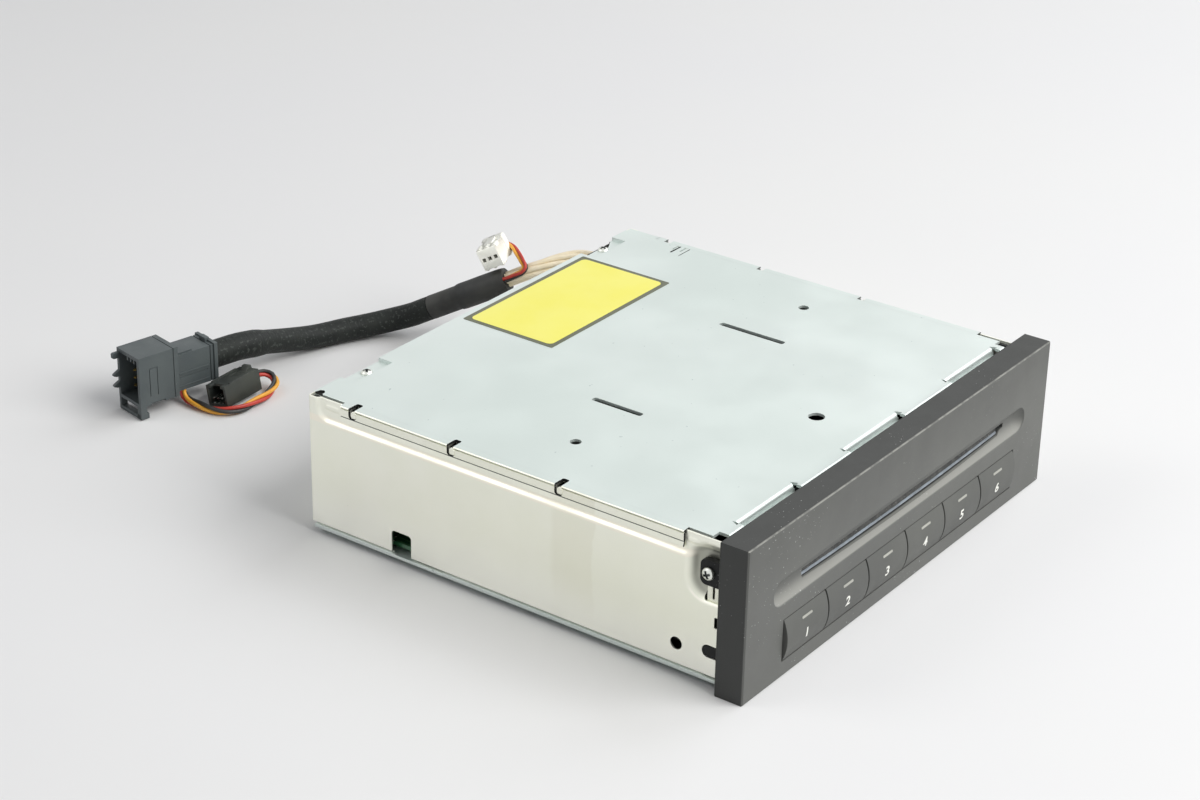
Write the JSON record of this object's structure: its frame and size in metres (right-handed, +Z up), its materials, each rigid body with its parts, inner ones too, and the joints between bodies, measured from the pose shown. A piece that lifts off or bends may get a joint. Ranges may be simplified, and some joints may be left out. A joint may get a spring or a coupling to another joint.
{
  "type": "car cd changer",
  "caption": "Slot-loading car CD changer in a flat zinc-plated steel case with a black bezel, disc keys and a rear wiring harness with plugs",
  "frame": {"origin": "below the middle of the case and bezel, on the surface that the bezel's lower edge stands on; the middle is taken without the harness and its plugs", "axes": "X to the right as seen from the front, Y from the bezel to the rear wall, Z up; the bezel faces -Y"},
  "size_m": [0.184, 0.2881, 0.0525],
  "materials": {
    "zinc_sheet": "zinc plated, satin",
    "wall_sheet": "zinc plated, satin, slightly warm",
    "bezel_plastic": "fine grain",
    "key_plastic": "fine grain",
    "steel_part": "bright",
    "dark_plastic": "satin",
    "white_plastic": "satin",
    "flap_plastic": "smooth",
    "circuit_board": "solder mask",
    "soft_rubber": "matt",
    "brass_part": "turned",
    "plug_plastic": "moulded",
    "sleeve_plastic": "soft tube",
    "cream_lead": "insulation",
    "coloured_lead": "insulation"
  },
  "bodies": {
    "casing": {"front_bezel": "bezel_plastic", "case_frame": "wall_sheet", "top_cover": "zinc_sheet", "bottom_cover": "wall_sheet", "bezel_screw_left": "steel_part", "bezel_screw_right": "steel_part", "cover_screw_left": "steel_part", "cover_screw_right": "steel_part", "key_board": "circuit_board", "main_board": "circuit_board", "flat_ribbon": "white_plastic", "mech_chassis": "zinc_sheet", "damper_front_left": "soft_rubber", "damper_front_right": "soft_rubber", "damper_rear_right": "soft_rubber", "loading_motor": "steel_part", "lift_motor": "steel_part", "disc_guide": "dark_plastic", "rear_gland": "soft_rubber", "lead_bundle": "cream_lead", "sleeve_collar": "sleeve_plastic", "cable_sleeve": "sleeve_plastic", "plug_housing": "plug_plastic", "plug_cover": "plug_plastic", "small_plug": "plug_plastic", "small_plug_leads": "coloured_lead", "white_plug": "white_plastic", "white_plug_leads": "coloured_lead"},
    "disc_key_1": {"key_1": "key_plastic"},
    "disc_key_2": {"key_2": "key_plastic"},
    "disc_key_3": {"key_3": "key_plastic"},
    "disc_key_4": {"key_4": "key_plastic"},
    "disc_key_5": {"key_5": "key_plastic"},
    "disc_key_6": {"key_6": "key_plastic"},
    "dust_flap": {"slot_flap": "flap_plastic"},
    "loading_roller": {"roller_shaft": "steel_part", "roller_rubber": "soft_rubber", "roller_gear": "white_plastic"},
    "idler": {"idler_gear": "white_plastic"},
    "loading_pinion": {"motor_pinion": "brass_part"},
    "tray_stack": {"tray_carrier": "white_plastic", "tray_1": "dark_plastic", "tray_2": "dark_plastic", "tray_3": "dark_plastic", "tray_4": "dark_plastic", "tray_5": "dark_plastic", "tray_6": "dark_plastic"},
    "left_slide": {"cam_slide_left": "zinc_sheet"},
    "rear_slide": {"cam_slide_rear": "zinc_sheet"},
    "slide_gear": {"corner_gear": "white_plastic"},
    "stack_pinion": {"lift_pinion": "brass_part"},
    "playback_unit": {"traverse_base": "zinc_sheet", "spindle_motor": "steel_part", "guide_rod": "steel_part", "sled_motor": "steel_part"},
    "disc_table": {"turntable": "dark_plastic"},
    "laser_sled": {"pickup_sled": "dark_plastic"},
    "sled_screw": {"lead_screw": "steel_part"},
    "clamp": {"clamp_arm": "zinc_sheet"},
    "puck": {"clamp_puck": "dark_plastic"}
  },
  "joints": [
    {"name": "key_1_press", "type": "slide", "parent": "casing", "child": "disc_key_1", "axis": [0, 1, 0], "range_m": [0, 0.0005], "stiffness_N_per_m": 600, "springref_m": -0.0005},
    {"name": "key_2_press", "type": "slide", "parent": "casing", "child": "disc_key_2", "axis": [0, 1, 0], "range_m": [0, 0.0005], "stiffness_N_per_m": 600, "springref_m": -0.0005},
    {"name": "key_3_press", "type": "slide", "parent": "casing", "child": "disc_key_3", "axis": [0, 1, 0], "range_m": [0, 0.0005], "stiffness_N_per_m": 600, "springref_m": -0.0005},
    {"name": "key_4_press", "type": "slide", "parent": "casing", "child": "disc_key_4", "axis": [0, 1, 0], "range_m": [0, 0.0005], "stiffness_N_per_m": 600, "springref_m": -0.0005},
    {"name": "key_5_press", "type": "slide", "parent": "casing", "child": "disc_key_5", "axis": [0, 1, 0], "range_m": [0, 0.0005], "stiffness_N_per_m": 600, "springref_m": -0.0005},
    {"name": "key_6_press", "type": "slide", "parent": "casing", "child": "disc_key_6", "axis": [0, 1, 0], "range_m": [0, 0.0005], "stiffness_N_per_m": 600, "springref_m": -0.0005},
    {"name": "flap_swing", "type": "hinge", "parent": "casing", "child": "dust_flap", "pos_m": [0, -0.0813, 0.0336], "axis": [1, 0, 0], "range_deg": [0, 60], "stiffness_Nm_per_rad": 0.0005, "springref_deg": -11.46},
    {"name": "roller_spin", "type": "hinge", "parent": "casing", "child": "loading_roller", "pos_m": [0, -0.0612, 0.0246], "axis": [1, 0, 0], "continuous": true},
    {"name": "idler_spin", "type": "hinge", "parent": "casing", "child": "idler", "pos_m": [-0.0825, -0.04465, 0.0306], "axis": [1, 0, 0], "continuous": true},
    {"name": "loading_pinion_spin", "type": "hinge", "parent": "casing", "child": "loading_pinion", "pos_m": [-0.0825, -0.04465, 0.017], "axis": [1, 0, 0], "continuous": true},
    {"name": "tray_lift", "type": "slide", "parent": "casing", "child": "tray_stack", "axis": [0, 0, 1], "range_m": [-0.0115, 0]},
    {"name": "left_slide_travel", "type": "slide", "parent": "casing", "child": "left_slide", "axis": [0, -1, 0], "range_m": [0, 0.0115]},
    {"name": "rear_slide_travel", "type": "slide", "parent": "casing", "child": "rear_slide", "axis": [-1, 0, 0], "range_m": [0, 0.0115]},
    {"name": "slide_gear_turn", "type": "hinge", "parent": "casing", "child": "slide_gear", "pos_m": [-0.072, 0.0598, 0.014], "axis": [0, 0, 1], "range_deg": [0, 83]},
    {"name": "stack_pinion_turn", "type": "hinge", "parent": "casing", "child": "stack_pinion", "pos_m": [-0.072, 0.0486, 0.014], "axis": [0, 0, 1], "range_deg": [-207, 0]},
    {"name": "playback_swing", "type": "hinge", "parent": "casing", "child": "playback_unit", "pos_m": [0.072, -0.0422, 0.015], "axis": [0, 0, 1], "range_deg": [0, 56.3]},
    {"name": "turntable_spin", "type": "hinge", "parent": "playback_unit", "child": "disc_table", "pos_m": [0.072, 0.0443, 0.019], "axis": [0, 0, 1], "continuous": true},
    {"name": "sled_travel", "type": "slide", "parent": "playback_unit", "child": "laser_sled", "axis": [0, -1, 0], "range_m": [0, 0.033]},
    {"name": "sled_screw_turn", "type": "hinge", "parent": "playback_unit", "child": "sled_screw", "pos_m": [0.076, 0.0008, 0.018], "axis": [0, 1, 0], "range_deg": [0, 3965]},
    {"name": "clamp_close", "type": "hinge", "parent": "playback_unit", "child": "clamp", "pos_m": [0.072, -0.0292, 0.0256], "axis": [-1, 0, 0], "range_deg": [0, 1]},
    {"name": "puck_spin", "type": "hinge", "parent": "clamp", "child": "puck", "pos_m": [0.072, 0.0443, 0.0243], "axis": [0, 0, 1], "continuous": true}
  ],
  "couplings": [
    {"joint": "idler_spin", "follows": "roller_spin", "ratio": -0.83333},
    {"joint": "loading_pinion_spin", "follows": "roller_spin", "ratio": 2},
    {"joint": "left_slide_travel", "follows": "tray_lift", "ratio": -1},
    {"joint": "rear_slide_travel", "follows": "tray_lift", "ratio": -1},
    {"joint": "slide_gear_turn", "follows": "tray_lift", "rad_per_m": -125},
    {"joint": "stack_pinion_turn", "follows": "tray_lift", "rad_per_m": 312.5},
    {"joint": "sled_screw_turn", "follows": "sled_travel", "rad_per_m": 2094.4},
    {"joint": "puck_spin", "follows": "turntable_spin", "ratio": 1}
  ]
}
